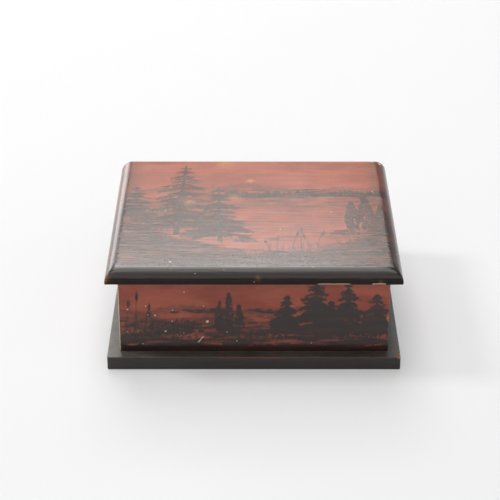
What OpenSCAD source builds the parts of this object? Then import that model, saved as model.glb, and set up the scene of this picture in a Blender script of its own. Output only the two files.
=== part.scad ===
// Deed box: four rebated wall boards on an overhanging base board, under a lid
// board with a quarter round on its front and sides, hung on two butt hinges.
// Millimetres, +Z up. Origin: centre of the base board's underside.
// X runs along the front, and -Y faces the front.

/* [Box walls] */
// Width across the outside of the walls
box_w = 238; // [180:1:360]
// Depth over the outside of the walls
box_d = 218; // [140:1:320]
// Height of the walls, from the base board to the lid
wall_h = 73; // [50:1:140]
// Thickness of the wall boards
wall_t = 9.5; // [8:0.5:14]
// Thickness left outside the rebate in the front and back boards
rebate_lip = 3.5; // [2:0.5:4]
// Easing of the box's four upright corners
wall_ease = 0.8; // [0.3:0.1:1.5]

/* [Base board] */
// Thickness of the base board
base_t = 12.5; // [9:0.5:20]
// Width of the ledge that the base board leaves round the walls
base_ledge = 11; // [5:0.5:20]
// Radius of the base board's worn upright corners
base_corner = 2.2; // [1:0.1:6]
// Easing of the base board's long edges
base_ease = 0.8; // [0.3:0.1:2]

/* [Lid] */
// Thickness of the lid board
lid_t = 12.5; // [12:0.5:15.5]
// How far the lid stands out past the front and side walls
lid_overhang = 10.5; // [5:0.5:20]
// Radius of the quarter round on the lid's front and side edges
mould_r = 11; // [6:0.5:11.5]
// Radius of the lid's worn front corners
lid_corner = 1.6; // [0.5:0.1:4]

/* [Hinges] */
// Length of each butt hinge
hinge_l = 38; // [25:1:50]
// Distance from a side wall's outer face to the middle of the nearest hinge
hinge_inset = 49; // [40:1:60]
// Leaf width, from the pin's axis to the leaf's inner edge
leaf_w = 9; // [8.5:0.5:9.5]
// Leaf thickness
leaf_t = 1.2; // [0.8:0.1:1.6]
// Radius of the hinge pin
pin_r = 1; // [0.8:0.1:1.2]
// Number of knuckles on each hinge
knuckles = 5; // [3:2:7]
// Number of screws in each leaf
leaf_screws = 3; // [2:1:3]

/* [Fixings] */
// Radius of the hinge screws' shanks
screw_r = 1.1; // [0.9:0.1:1.2]
// Length of the hinge screws
screw_l = 9; // [6:0.5:9.5]
// Radius of the corner brads
brad_r = 0.8; // [0.6:0.1:1]
// Length of the corner brads
brad_l = 24; // [16:1:32]
// Brads at each corner
brad_rows = 3; // [2:1:4]
// Radius of the nails through the base board
nail_r = 1.1; // [0.9:0.1:1.4]
// Length of the nails through the base board
nail_l = 32; // [25:1:38]
// Distance of the outer front and back nails from the side walls' faces
nail_inset_x = 38; // [36:1:60]
// Distance of the side walls' nails from the front and back faces
nail_inset_y = 61; // [30:1:65]

/* [Hidden] */
$fn = 96;

// Clearances
pin_gap = 0.05;
knuckle_gap = 0.15;
pocket_gap = 0.2;
shank_gap = 0.05;
hinge_back_gap = 0.3;
// A cut runs this far past the face that it opens
past = 1;

// Heights and edges that several boards share
joint_z = base_t + wall_h;
front_y = -box_d / 2;
back_y = box_d / 2;
side_x = box_w / 2;

// Base board
base_w = box_w + 2 * base_ledge;
base_d = box_d + 2 * base_ledge;

// Lid: its back edge is flush with the back wall
lid_w = box_w + 2 * lid_overhang;
lid_d = box_d + lid_overhang;
// Upright land under the quarter round
mould_land = lid_t - mould_r;

// Rebated corners
rebate_depth = wall_t - rebate_lip;
side_board_d = box_d - 2 * rebate_lip;

// Hinges: the pin's axis lies in the plane between the walls and the lid
barrel_r = pin_r + leaf_t;
pin_y = back_y + barrel_r + hinge_back_gap;
knuckle_l = hinge_l / knuckles;
hinge_x = side_x - hinge_inset;
leaf_edge_y = pin_y - leaf_w;
screw_y = leaf_edge_y + (back_y - leaf_edge_y) / 2;
screw_pitch = hinge_l / leaf_screws;
screw_head_r = 1.9 * screw_r;
screw_head_h = screw_head_r - screw_r;
slot_w = 0.5;
slot_deep = 0.4;
// The heads lie this far under the face of the leaf
screw_sunk = 0.1;

// Fixings in wood
brad_head_r = 1.5 * brad_r;
brad_head_h = 0.8;
brad_sunk = 0.5;
brad_y = back_y - rebate_lip - rebate_depth / 2;
nail_head_r = 2 * nail_r;
nail_head_h = 1;
nail_sunk = 0.3;
wall_mid = wall_t / 2;

function brad_z(row) = base_t + wall_h * (row + 0.5) / brad_rows;
function screw_x(i) = (i - (leaf_screws - 1) / 2) * screw_pitch;

// The nails' places under the front and back walls, then under the side walls
nail_places = concat(
    [for (s = [-1, 1], k = [-1, 0, 1])
        [k * (side_x - nail_inset_x), s * (back_y - wall_mid)]],
    [for (s = [-1, 1], k = [-1, 1])
        [s * (side_x - wall_mid), k * (back_y - nail_inset_y)]]
);

// Rectangle centred on the origin with round corners
module rounded_rect(w, d, r) {
    square([w - 2 * r, d], center = true);
    square([w, d - 2 * r], center = true);
    for (x = [-1, 1], y = [-1, 1])
        translate([x * (w / 2 - r), y * (d / 2 - r)])
            circle(r);
}

// Block standing on z = 0, with round upright corners and eased long edges
module eased_block(w, d, h, corner, ease) {
    intersection() {
        linear_extrude(h)
            rounded_rect(w, d, corner);
        translate([0, d / 2, h / 2])
            rotate([90, 0, 0])
                linear_extrude(d)
                    rounded_rect(w, h, ease);
        translate([-w / 2, 0, h / 2])
            rotate([90, 0, 90])
                linear_extrude(w)
                    rounded_rect(d, h, ease);
    }
}

// Nail or brad that points along +Z from z = 0, its head at the bottom
module nail(r, l, head_r, head_h) {
    point_h = 2 * r;
    cylinder(r = head_r, h = head_h);
    cylinder(r = r, h = l - point_h);
    translate([0, 0, l - point_h])
        cylinder(r1 = r, r2 = r / 4, h = point_h);
}

// Hole for that nail, open at z = 0
module nail_hole(r, l, head_r, head_h, sunk) {
    translate([0, 0, -past])
        cylinder(r = head_r + shank_gap, h = past + head_h + sunk);
    cylinder(r = r + shank_gap, h = l + sunk);
}

// Puts its children at each corner brad, pointing into the box
module at_brads() {
    for (s = [-1, 1], e = [-1, 1], row = [0 : brad_rows - 1])
        translate([s * side_x, e * brad_y, brad_z(row)])
            rotate([0, -s * 90, 0])
                children();
}

module brad_holes() {
    at_brads()
        nail_hole(brad_r, brad_l, brad_head_r, brad_head_h, brad_sunk);
}

module nail_holes() {
    for (p = nail_places)
        translate([p[0], p[1], 0])
            nail_hole(nail_r, nail_l, nail_head_r, nail_head_h, nail_sunk);
}

// Plan of the front board, its outer face on y = 0 and its rebates at the back
module end_board_plan() {
    difference() {
        union() {
            translate([-side_x, wall_ease])
                square([box_w, wall_t - wall_ease]);
            translate([-side_x + wall_ease, 0])
                square([box_w - 2 * wall_ease, wall_t]);
            for (s = [-1, 1])
                translate([s * (side_x - wall_ease), wall_ease])
                    circle(wall_ease);
        }
        for (s = [-1, 1])
            translate([s * side_x - (s > 0 ? wall_t : past), rebate_lip])
                square([wall_t + past, rebate_depth + past]);
    }
}

module end_board() {
    translate([0, front_y, base_t])
        linear_extrude(wall_h)
            end_board_plan();
}

module side_board(side) {
    difference() {
        translate([side * (side_x - wall_mid) - wall_mid, -side_board_d / 2, base_t])
            cube([wall_t, side_board_d, wall_h]);
        brad_holes();
        nail_holes();
    }
}

// Shallow pockets for the hinge leaves, centred on the plane of the joint
module leaf_pockets() {
    for (s = [-1, 1])
        translate([s * hinge_x - hinge_l / 2 - pocket_gap, leaf_edge_y - pocket_gap,
                   joint_z - leaf_t])
            cube([hinge_l + 2 * pocket_gap, leaf_w + barrel_r + past, 2 * leaf_t]);
}

// Puts its children at the seat of each screw of a leaf, on the joint's plane
module at_screws(side) {
    for (i = [0 : leaf_screws - 1])
        translate([side * hinge_x + screw_x(i), screw_y, joint_z])
            children();
}

// Countersunk screw that points down from z = 0
module screw() {
    difference() {
        union() {
            translate([0, 0, -screw_sunk - screw_head_h])
                cylinder(r1 = screw_r, r2 = screw_head_r, h = screw_head_h);
            translate([0, 0, -screw_l + screw_r])
                cylinder(r = screw_r, h = screw_l - screw_r - screw_sunk);
            translate([0, 0, -screw_l])
                cylinder(r1 = screw_r / 4, r2 = screw_r, h = screw_r);
        }
        translate([-screw_head_r - past, -slot_w / 2, -screw_sunk - slot_deep])
            cube([2 * (screw_head_r + past), slot_w, slot_deep + past]);
    }
}

// Countersunk hole through a leaf and on into the wood
module screw_hole() {
    head = screw_head_r + shank_gap;
    shank = screw_r + shank_gap;
    translate([0, 0, -screw_sunk])
        cylinder(r = head, h = screw_sunk + past);
    translate([0, 0, -screw_sunk - (head - shank)])
        cylinder(r1 = shank, r2 = head, h = head - shank);
    translate([0, 0, -screw_l - shank_gap])
        cylinder(r = shank, h = screw_l);
}

// Knuckles number first, first + 2 and so on, each longer by grow at both ends
module knuckle_run(first, r, grow) {
    for (k = [first : 2 : knuckles - 1])
        translate([-hinge_l / 2 + k * knuckle_l - grow, pin_y, joint_z])
            rotate([0, 90, 0])
                cylinder(r = r, h = knuckle_l + 2 * grow);
}

// Leaf of a hinge at x = 0. The box leaf lies under the joint's plane and has
// the outer knuckles; the lid leaf lies over it and has the ones between.
module leaf(first, low) {
    difference() {
        union() {
            translate([-hinge_l / 2, leaf_edge_y, joint_z - (low ? leaf_t : 0)])
                cube([hinge_l, leaf_w, leaf_t]);
            knuckle_run(first, barrel_r, 0);
        }
        knuckle_run(1 - first, barrel_r + knuckle_gap, knuckle_gap);
        translate([-hinge_l / 2 - past, pin_y, joint_z])
            rotate([0, 90, 0])
                cylinder(r = pin_r + pin_gap, h = hinge_l + 2 * past);
    }
}

module box_leaf(side) {
    color("darkgoldenrod")
        difference() {
            translate([side * hinge_x, 0, 0])
                leaf(0, true);
            at_screws(side)
                screw_hole();
        }
}

module lid_leaf(side) {
    color("darkgoldenrod")
        difference() {
            translate([side * hinge_x, 0, 0])
                leaf(1, false);
            at_screws(side)
                mirror([0, 0, 1])
                    screw_hole();
        }
}

// Pin with a low domed end at each side of the barrel
module hinge_pin(side) {
    dome = pin_r / 2;
    color("peru")
        translate([side * hinge_x - hinge_l / 2 - dome, pin_y, joint_z])
            rotate([0, 90, 0])
                union() {
                    cylinder(r1 = pin_r / 2, r2 = pin_r, h = dome);
                    translate([0, 0, dome])
                        cylinder(r = pin_r, h = hinge_l);
                    translate([0, 0, dome + hinge_l])
                        cylinder(r1 = pin_r, r2 = pin_r / 2, h = dome);
                }
}

// Half section of the moulded lid: its edge on x = 0, running in to x = run
module mould_section(run) {
    intersection() {
        translate([mould_r, mould_land])
            circle(mould_r);
        square([mould_r, lid_t]);
    }
    square([mould_r, mould_land]);
    translate([mould_r, 0])
        square([run - mould_r, lid_t]);
}

// Lid board: the quarter rounds of the front and the sides meet in mitres
module lid_blank() {
    translate([0, front_y - lid_overhang, joint_z])
        intersection() {
            translate([-lid_w / 2, 0, 0])
                rotate([90, 0, 90])
                    linear_extrude(lid_w)
                        mould_section(lid_d);
            translate([0, lid_d, 0])
                rotate([90, 0, 0])
                    linear_extrude(lid_d)
                        for (s = [0, 1])
                            mirror([s, 0])
                                translate([-lid_w / 2, 0])
                                    mould_section(lid_w / 2 + past);
            linear_extrude(lid_t)
                union() {
                    translate([-lid_w / 2, lid_corner])
                        square([lid_w, lid_d - lid_corner]);
                    translate([-lid_w / 2 + lid_corner, 0])
                        square([lid_w - 2 * lid_corner, lid_d]);
                    for (s = [-1, 1])
                        translate([s * (lid_w / 2 - lid_corner), lid_corner])
                            circle(lid_corner);
                }
        }
}

module base_board() {
    color("#2b2624")
        difference() {
            eased_block(base_w, base_d, base_t, base_corner, base_ease);
            nail_holes();
        }
}

module front_board() {
    color("#7c352b")
        difference() {
            end_board();
            brad_holes();
            nail_holes();
        }
}

module back_board() {
    color("#6a3128")
        difference() {
            mirror([0, 1, 0])
                end_board();
            brad_holes();
            nail_holes();
            leaf_pockets();
            for (s = [-1, 1])
                at_screws(s)
                    screw_hole();
        }
}

module left_board() {
    color("#74332a")
        side_board(-1);
}

module right_board() {
    color("#74332a")
        side_board(1);
}

module lid_board() {
    color("#8a4436")
        difference() {
            lid_blank();
            leaf_pockets();
            for (s = [-1, 1])
                at_screws(s)
                    mirror([0, 0, 1])
                        screw_hole();
        }
}

module corner_brads() {
    color("dimgray")
        at_brads()
            translate([0, 0, brad_sunk])
                nail(brad_r, brad_l, brad_head_r, brad_head_h);
}

module base_nails() {
    color("dimgray")
        for (p = nail_places)
            translate([p[0], p[1], nail_sunk])
                nail(nail_r, nail_l, nail_head_r, nail_head_h);
}

module box_leaf_screws() {
    color("goldenrod")
        for (s = [-1, 1])
            at_screws(s)
                screw();
}

module lid_leaf_screws() {
    color("goldenrod")
        for (s = [-1, 1])
            at_screws(s)
                mirror([0, 0, 1])
                    screw();
}

base_board();
front_board();
back_board();
left_board();
right_board();
corner_brads();
base_nails();
lid_board();
box_leaf(-1);  // left_hinge_box_leaf
lid_leaf(-1);  // left_hinge_lid_leaf
hinge_pin(-1);  // left_hinge_pin
box_leaf(1);  // right_hinge_box_leaf
lid_leaf(1);  // right_hinge_lid_leaf
hinge_pin(1);  // right_hinge_pin
box_leaf_screws();
lid_leaf_screws();
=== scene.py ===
# Looks of a painted deed box: wooden boards under worn brick red and black paint, brass
# butt hinges and bare wood inside, on a pale studio floor
import math
import bmesh
import bpy
import numpy as np
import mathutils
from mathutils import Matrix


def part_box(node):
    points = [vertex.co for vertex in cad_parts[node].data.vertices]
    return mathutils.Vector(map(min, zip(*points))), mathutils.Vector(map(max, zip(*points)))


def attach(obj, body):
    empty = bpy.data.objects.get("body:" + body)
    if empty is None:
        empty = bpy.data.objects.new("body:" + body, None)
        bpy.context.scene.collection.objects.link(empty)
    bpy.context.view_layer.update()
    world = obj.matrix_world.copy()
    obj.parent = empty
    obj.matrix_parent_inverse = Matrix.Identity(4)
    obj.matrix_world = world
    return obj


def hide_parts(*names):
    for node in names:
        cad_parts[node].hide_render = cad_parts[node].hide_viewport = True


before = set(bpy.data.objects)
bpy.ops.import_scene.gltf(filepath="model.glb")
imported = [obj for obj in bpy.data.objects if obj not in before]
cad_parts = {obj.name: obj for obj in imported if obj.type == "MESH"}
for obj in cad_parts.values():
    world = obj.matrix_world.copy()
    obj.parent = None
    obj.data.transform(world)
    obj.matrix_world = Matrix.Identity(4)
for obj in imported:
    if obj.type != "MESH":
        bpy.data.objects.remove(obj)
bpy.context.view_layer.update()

# Everything is worked out in millimetres and written to the meshes in metres
MM = 0.001
# Sizes that the frame's boxes don't give, as the boards are cut
MOULD_R = 11.0
CORNER_R = 1.6
REBATE_LIP = 3.5
LEAF_T = 1.2
POCKET_GAP = 0.2
# How round the sharp corners have worn
BACK_EASE = 0.6
BOARD_EASE = 0.5
# How sharp the lid's mitres still are: they are rounder the less this is
MITRE_WEAR = 3.0
# Spacing of the painted surfaces' grid lines, and half the width of a step in them
PITCH = 0.87
STEP = 0.02
# How far in the underside's coarse grid starts from the lid's edge
RIM_IN = 1.2

# How far, in millimetres, the ink field reaches on both sides of a stroke's edge
REACH = 2.0
# Faces that meet at more degrees than this keep a hard edge
HARD_EDGE = 30


def smooth(low, high, x):
    """0 below low and 1 above high, with the cubic 3t^2 - 2t^3 in between."""
    t = np.clip((x - low) / (high - low), 0, 1)
    return t * t * (3 - 2 * t)


def waves(x, rng, length, octaves=4):
    """A wandering line: sines whose wavelengths halve from length and whose heights fall
    by 0.55, at random phases."""
    total = np.zeros_like(x, float)
    for k in range(octaves):
        turn = 2 * math.pi * 2**k / length * rng.uniform(0.8, 1.2)
        total += 0.55**k * np.sin(x * turn + rng.uniform(0, 2 * math.pi))
    return total


class Canvas:
    """A flat face to paint, on grid lines u by v in millimetres. ink is the signed
    distance into the nearest black stroke, and glaze the strength, 0 to 1, of the
    thin brown-black wash over the red."""

    def __init__(self, u, v, seed):
        self.u, self.v = u, v
        self.rng = np.random.default_rng(seed)
        self.ink = np.full((len(v), len(u)), -REACH)
        self.glaze = np.zeros((len(v), len(u)))

    def ellipse(self, u, v, length, width, angle, margin=0.0):
        """The rows and columns within margin of an ellipse round (u, v), and at each point
        there r, its distance to the middle in half axes."""
        reach = length / 2 + margin
        cols = slice(*np.searchsorted(self.u, (u - reach, u + reach)))
        rows = slice(*np.searchsorted(self.v, (v - reach, v + reach)))
        x, y = self.u[None, cols] - u, self.v[rows, None] - v
        c, s = math.cos(angle), math.sin(angle)
        r = np.hypot((x * c + y * s) / (length / 2), (y * c - x * s) / (width / 2))
        return rows, cols, r

    def dab(self, u, v, length, width, angle=0.0, lift=False):
        """One stroke. Inside its ellipse the ink is (1 - r) times its half width. lift
        takes paint off."""
        rows, cols, r = self.ellipse(u, v, length, width, angle, REACH)
        deep = (1 - r) * width / 2
        if lift:
            self.ink[rows, cols] = np.minimum(self.ink[rows, cols], np.maximum(-deep, -REACH))
        else:
            self.ink[rows, cols] = np.maximum(self.ink[rows, cols], deep)

    def veil(self, u, v, length, width, strength, angle=0.0):
        """One soft stroke of glaze: an ellipse whose strength falls as a cubic from its
        core to its edge."""
        rows, cols, r = self.ellipse(u, v, length, width, angle)
        self.wash(strength * (1 - smooth(0.35, 1, r)), rows, cols)

    def wash(self, layer, rows=slice(None), cols=slice(None)):
        """Puts a layer of glaze, as strong as it says at each point, over what is there."""
        self.glaze[rows, cols] = 1 - (1 - self.glaze[rows, cols]) * (1 - layer)

    def layers(self, at_u, at_v):
        """The ink and the glaze at the given points."""
        return [sampled(layer, self.u, self.v, at_u, at_v) for layer in (self.ink, self.glaze)]

    def fill_below(self, line, steep):
        """Ink under a line that gives v for each u, with a rim as sharp as steep."""
        deep = np.clip((line[None, :] - self.v[:, None]) * steep, -REACH, REACH)
        self.ink[:] = np.maximum(self.ink, deep)

    def limb(self, start, end, width, bend=0.0, tip=0.3):
        """A tapering line from start to end that bows sideways by bend times its length."""
        start, end = np.array(start, float), np.array(end, float)
        along = end - start
        far = np.hypot(*along)
        side = np.array([-along[1], along[0]]) * bend
        n = max(3, int(far / 1.2))
        for t in np.linspace(0, 1, n):
            at = start + along * t + side * 4 * t * (1 - t)
            slope = along + side * 4 * (1 - 2 * t)
            w = width * (1 - (1 - tip) * t)
            self.dab(*at, 3.2, w, math.atan2(slope[1], slope[0]))


def fir(c, foot, height, spread, lean=0.0, tiers=15, bare=0.12):
    """A fir tree. Its boughs lengthen from the tip down as a power of the way, droop by
    the square of their own length, and each is a fan of short strokes that hang from it
    and end in a turned-up spray."""
    rng = c.rng
    top = (foot[0] + lean * height, foot[1] + height)
    c.limb(foot, top, max(1.8, height * 0.04), tip=0.35)
    for i in range(tiers):
        t = (i + rng.uniform(0.2, 1.0)) / tiers
        root_v = top[1] - t * height * (1 - bare)
        root_u = top[0] - lean * height * t * (1 - bare)
        for side in (-1, 1):
            reach = spread / 2 * t**0.8 * rng.uniform(0.5, 1.15) + 1.2
            droop = rng.uniform(0.10, 0.42)
            hang = (1.6 + 0.035 * height * t) * rng.uniform(0.7, 1.3)
            for s in np.linspace(0.02, 1, max(3, int(reach / 1.5))):
                u = root_u + side * reach * s
                v = root_v - droop * reach * s**1.6 + rng.normal(0, 0.3)
                thick = (1.3 - 0.75 * s) * (2.2 + 3.4 * t) * rng.uniform(0.8, 1.3)
                angle = -side * math.atan(1.6 * droop * s**0.6) + rng.normal(0, 0.25)
                c.dab(u, v, rng.uniform(3.2, 6.0), thick, angle)
                if rng.uniform() < 0.75:
                    long, wide = hang * rng.uniform(0.9, 1.6) * (1.2 - 0.6 * s), rng.uniform(1.1, 2.0)
                    c.dab(u, v - hang * 0.45, long, wide, math.pi / 2 + side * rng.uniform(0.1, 0.7))
            if reach > 4:
                tip_u, tip_v = root_u + side * reach, root_v - droop * reach
                for _ in range(3):
                    c.dab(tip_u + rng.normal(0, 1.2), tip_v + rng.normal(0.4, 0.8),
                          rng.uniform(2.0, 4.0), rng.uniform(0.7, 1.2), side * rng.uniform(-0.6, 0.8))


def poplar(c, foot, height, spread):
    """A slim tree like a flame: short upright strokes round a bare stem, widest a third of
    the way up."""
    rng = c.rng
    c.limb(foot, (foot[0], foot[1] + height * 0.9), 1.5, bend=rng.uniform(-0.02, 0.02))
    for _ in range(int(height * spread / 3)):
        t = rng.uniform(0.12, 1)
        half = spread / 2 * math.sin(math.pi * min(1, t**0.75 * 0.98)) ** 0.8
        u = foot[0] + rng.uniform(-1, 1) * half
        c.dab(u, foot[1] + t * height, rng.uniform(2.8, 5.6), rng.uniform(1.2, 2.4),
              math.pi / 2 + rng.normal(0, 0.35))


def shrub(c, at, width, height):
    """A round bush with a flat foot, of short strokes that fan out from its root."""
    rng = c.rng
    for _ in range(int(width * height / 3)):
        way = rng.uniform(0.05, 0.95) * math.pi
        out = rng.uniform(0, 1) ** 0.6
        u = at[0] + math.cos(way) * out * width / 2
        v = at[1] + math.sin(way) * out * height
        c.dab(u, v, rng.uniform(1.8, 4.2), rng.uniform(1.0, 2.0), way + rng.normal(0, 0.5))


def bulrush(c, foot, height, lean=0.0):
    """A stem with a long dark head below its tip, and two blades beside it."""
    rng = c.rng
    tip = (foot[0] + lean * height, foot[1] + height)
    c.limb(foot, tip, 1.4, bend=lean * 0.3, tip=0.6)
    way = math.atan2(height, lean * height)
    c.dab(tip[0] - 0.14 * lean * height, tip[1] - 0.14 * height, height * 0.2, 2.8, way)
    for side in (-1, 1):
        far = (foot[0] + side * rng.uniform(2.5, 7.5), foot[1] + height * rng.uniform(0.4, 0.8))
        c.limb(foot, far, 1.5, bend=-side * 0.13, tip=0.35)


def grass(c, u0, u1, v, height, count, width=0.9):
    """A row of blades of many heights, each a bent tapering limb."""
    rng = c.rng
    for _ in range(count):
        u = rng.uniform(u0, u1)
        tall = height * rng.uniform(0.35, 1)
        c.limb((u, v + rng.normal(0, 0.6)), (u + rng.normal(0, 0.28) * tall, v + tall), width,
               bend=rng.normal(0, 0.1))


def ridge(c, level, swing, length, depth, strength, start=-1e3, slope=0.0):
    """Far hills, from u = start on: glaze under a wandering skyline, strongest there and
    gone at depth below it."""
    line = level + slope * c.u + swing * waves(c.u, c.rng, length, 3)
    line = line + 0.8 * waves(c.u, c.rng, 9, 3)
    down = line[None, :] - c.v[:, None]
    layer = strength * smooth(-0.3, 0.9, down) * (1 - smooth(0.25 * depth, depth, down))
    c.wash(layer * smooth(start, start + 14, c.u))


def bank(c, edge):
    """Near ground: all ink under a skyline that edge gives for each u, with a torn rim."""
    c.fill_below(edge + 1.6 * waves(c.u, c.rng, 13, 4), 0.6)


def drag(c, u0, u1, v0, v1, count, length, width, kind="veil", strength=(0.3, 0.7)):
    """Long level strokes of a nearly dry brush, scattered over a patch. kind is veil, dab
    or lift."""
    rng = c.rng
    for _ in range(count):
        u, v = rng.uniform(u0, u1), rng.uniform(v0, v1)
        far, wide = length * rng.uniform(0.4, 1.3), width * rng.uniform(0.5, 1.4)
        angle = rng.normal(0, 0.035)
        if kind == "veil":
            c.veil(u, v, far, wide, rng.uniform(*strength), angle)
        else:
            c.dab(u, v, far, wide, angle, lift=kind == "lift")


def lid_picture(u, v):
    """A lake among hills: tall firs on the left, poplars far right, reeds on a dark near bank."""
    c = Canvas(u, v, 11)
    lo_u, hi_u, lo_v = u[0], u[-1], v[0]
    # Thin cloud in the sky, then two lines of hills with woods along them
    drag(c, lo_u, hi_u, 58, 108, 26, 60, 5, strength=(0.06, 0.2))
    ridge(c, 50, 5, 190, 17, 0.62, slope=0.015)
    ridge(c, 35, 4, 120, 15, 0.7, start=-60)
    for at in np.arange(-26, 130, 2.6):
        tall = 3.5 + 3.0 * math.sin(at / 11) ** 2 + c.rng.uniform(0, 3.5)
        c.dab(at + c.rng.normal(0, 1.2), 33 + tall / 3, tall * 1.6, c.rng.uniform(2.4, 4.6),
              math.pi / 2 + c.rng.normal(0, 0.15))
    drag(c, -34, 128, 28, 36, 80, 18, 2.6, "dab")
    drag(c, -30, 60, 40, 46, 16, 22, 1.6, "dab")
    # Still water: level streaks, darkest under the far shore and along the left
    drag(c, lo_u, hi_u, -60, 28, 260, 50, 2.8, strength=(0.2, 0.6))
    drag(c, 0, hi_u, 8, 26, 70, 34, 2.2, strength=(0.5, 0.9))
    drag(c, lo_u, -30, -60, 22, 110, 44, 2.8, strength=(0.4, 0.85))
    drag(c, lo_u, hi_u, -60, 18, 50, 26, 1.3, "dab")
    # Both shores slope down to the near bank, streaked with thin paint
    shore = -82 + np.where(u < 24, 0.0030, 0.0052) * (u - 24) ** 2
    down = (shore + 3 * waves(u, c.rng, 60, 4))[None, :] - v[:, None]
    c.wash(0.85 * smooth(-1.5, 3, down))
    for _ in range(520):
        at = c.rng.uniform(lo_u, hi_u)
        top = np.interp(at, u, shore)
        c.dab(at, c.rng.uniform(-104, top), c.rng.uniform(10, 44), c.rng.uniform(1.2, 3.4),
              c.rng.normal(0, 0.05))
    for _ in range(90):
        at = c.rng.uniform(lo_u, hi_u)
        top = np.interp(at, u, shore)
        c.dab(at, c.rng.uniform(-92, top + 2), c.rng.uniform(8, 30), c.rng.uniform(0.8, 2.0),
              c.rng.normal(0, 0.05), lift=True)
    # Tall trees on the left shore
    fir(c, (-70, -48), 146, 82, lean=0.03, tiers=19)
    fir(c, (-30, -62), 112, 60, lean=-0.03, tiers=16)
    fir(c, (-112, -22), 74, 46, lean=0.02, tiers=12)
    shrub(c, (-96, -26), 34, 18)
    shrub(c, (-52, -54), 40, 14)
    shrub(c, (-8, -64), 24, 9)
    # Poplars on the right shore
    for at, tall, wide in ((90, 62, 13), (103, 76, 14), (117, 54, 13)):
        poplar(c, (at, -44), tall, wide)
    shrub(c, (82, -50), 28, 12)
    shrub(c, (110, -42), 34, 15)
    # Reeds and grass along the near bank
    reeds = ((34, 52, 0.12), (42, 60, 0.02), (49, 46, -0.1), (56, 54, 0.14), (14, 34, -0.12), (20, 40, 0.05))
    for at, tall, lean in reeds:
        bulrush(c, (at, -92), tall, lean)
    grass(c, 20, 72, -90, 24, 44, 1.2)
    grass(c, -20, 24, -92, 16, 36, 1.1)
    grass(c, 70, hi_u, -66, 16, 40, 1.1)
    grass(c, lo_u, -70, -62, 15, 40, 1.1)
    # The front moulding is black, with a ragged upper edge
    rim = lo_v + 19 + 1.5 * waves(u, c.rng, 40, 3) + 1.4 * waves(u, c.rng, 6, 3)
    c.fill_below(rim, 0.7)
    return c


def front_picture(u, v):
    """A moor: tall firs on the right, reeds and low shrubs on the left, dark rolling ground."""
    c = Canvas(u, v, 5)
    lo_u, hi_u, foot = u[0], u[-1], v[0]
    ridge(c, foot + 44, 2.5, 120, 12, 0.5)
    drag(c, -70, 24, foot + 39, foot + 43, 30, 15, 1.6, "dab")
    ridge(c, foot + 33, 2.5, 80, 12, 0.6)
    drag(c, lo_u, hi_u, foot + 6, foot + 36, 190, 34, 2.2, strength=(0.3, 0.7))
    rises = ((62, 40, 7), (-100, 30, 6), (-26, 14, 3))
    bank(c, foot + 12 + sum(tall * np.exp(-(((u - at) / wide) ** 2)) for at, wide, tall in rises))
    drag(c, lo_u, hi_u, foot + 4, foot + 31, 210, 20, 1.5, "dab")
    drag(c, lo_u, hi_u, foot + 6, foot + 24, 110, 17, 1.1, "lift")
    firs = ((54, 60, 46, 0.02), (84, 54, 38, -0.03), (28, 42, 28, 0.03), (108, 44, 30, 0), (68, 36, 26, 0))
    for at, tall, wide, lean in firs:
        fir(c, (at, foot + 14), tall, wide, lean, tiers=12)
    shrub(c, (64, foot + 15), 44, 12)
    shrub(c, (100, foot + 15), 30, 12)
    for at, tall in ((-30, 34), (-22, 42), (-13, 31)):
        poplar(c, (at, foot + 16), tall, 8)
    shrub(c, (-20, foot + 16), 30, 8)
    shrub(c, (-62, foot + 17), 36, 16)
    shrub(c, (-84, foot + 16), 30, 13)
    shrub(c, (2, foot + 14), 22, 8)
    for at, tall, lean in ((-112, 42, 0.05), (-104, 50, 0.03), (-96, 38, 0.12), (-90, 30, -0.08)):
        bulrush(c, (at, foot + 12), tall, lean)
    grass(c, lo_u, -80, foot + 14, 20, 44)
    grass(c, -76, 34, foot + 14, 9, 60)
    grass(c, 60, hi_u, foot + 14, 10, 40)
    rim = foot + 6 + 1.2 * waves(u, c.rng, 30, 3)
    c.fill_below(rim, 0.7)
    return c


def side_picture(u, v, seed):
    """The end boards, painted more quickly: a few firs and shrubs on dark ground."""
    c = Canvas(u, v, seed)
    lo_u, hi_u, foot = u[0], u[-1], v[0]
    ridge(c, foot + 34, 4, 110, 15, 0.55)
    drag(c, lo_u, hi_u, foot + 4, foot + 30, 130, 36, 2.4, strength=(0.35, 0.75))
    bank(c, foot + 13 + 3 * waves(u, c.rng, 120, 2))
    drag(c, lo_u, hi_u, foot + 7, foot + 22, 60, 22, 1.2, "lift")
    for _ in range(4):
        at = c.rng.uniform(lo_u + 12, hi_u - 12)
        tall, wide, lean = c.rng.uniform(30, 56), c.rng.uniform(20, 34), c.rng.normal(0, 0.03)
        fir(c, (at, foot + 13), tall, wide, lean, tiers=11)
    for _ in range(5):
        shrub(c, (c.rng.uniform(lo_u, hi_u), foot + 14), c.rng.uniform(16, 30), c.rng.uniform(5, 11))
    grass(c, lo_u, hi_u, foot + 13, 9, 90)
    rim = foot + 5 + 1.0 * waves(u, c.rng, 30, 3)
    c.fill_below(rim, 0.7)
    return c


def box_mm(node):
    """Lowest and highest corner of a CAD node, in millimetres."""
    low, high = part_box(node)
    return np.array(low) / MM, np.array(high) / MM


def even(low, high):
    """Evenly spaced numbers from low to high, no further apart than PITCH."""
    return np.linspace(low, high, math.ceil((high - low) / PITCH) + 1)


def with_lines(lines, extra):
    """lines with the extra ones put in, and those nearer to one of these than a quarter
    pitch left out."""
    extra = np.array(sorted(extra))
    clear = np.abs(lines[:, None] - extra[None, :]).min(1) > PITCH / 4
    return np.sort(np.concatenate([lines[clear], extra]))


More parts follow.
